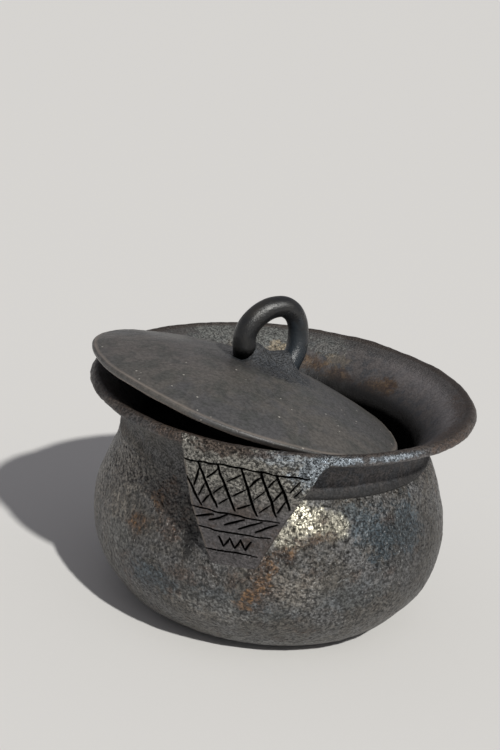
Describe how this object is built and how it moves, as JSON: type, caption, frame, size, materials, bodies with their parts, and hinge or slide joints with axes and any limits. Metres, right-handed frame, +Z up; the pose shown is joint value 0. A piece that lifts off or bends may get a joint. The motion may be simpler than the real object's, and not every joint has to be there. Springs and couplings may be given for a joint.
{
  "type": "lidded clay pot",
  "caption": "Round-bellied black clay pot with a flared rim, a carved lug at the front and a loose domed lid with a rolled clay loop.",
  "frame": {"origin": "centre of the flat underside of the pot, on the pot's own axis", "axes": "+Z up along the pot's axis; -Y is the side with the carved lug"},
  "size_m": [0.24, 0.2401, 0.1999],
  "materials": {
    "rough_clay": "matte, pitted",
    "rim_clay": "satin",
    "lug_clay": "satin, incised",
    "burnished_clay": "burnished satin",
    "loop_clay": "burnished satin"
  },
  "bodies": {
    "pot": {"base_dish": "rough_clay", "bowl_wall": "rough_clay", "neck_rim": "rim_clay", "front_lug": "lug_clay"},
    "lid": {"lid_disc": "burnished_clay", "lid_pad": "loop_clay", "lid_loop": "loop_clay"}
  },
  "joints": [
    {"name": "lid_lift", "type": "slide", "parent": "pot", "child": "lid", "axis": [0, 0, 1], "range_m": [0, 0.14]}
  ]
}
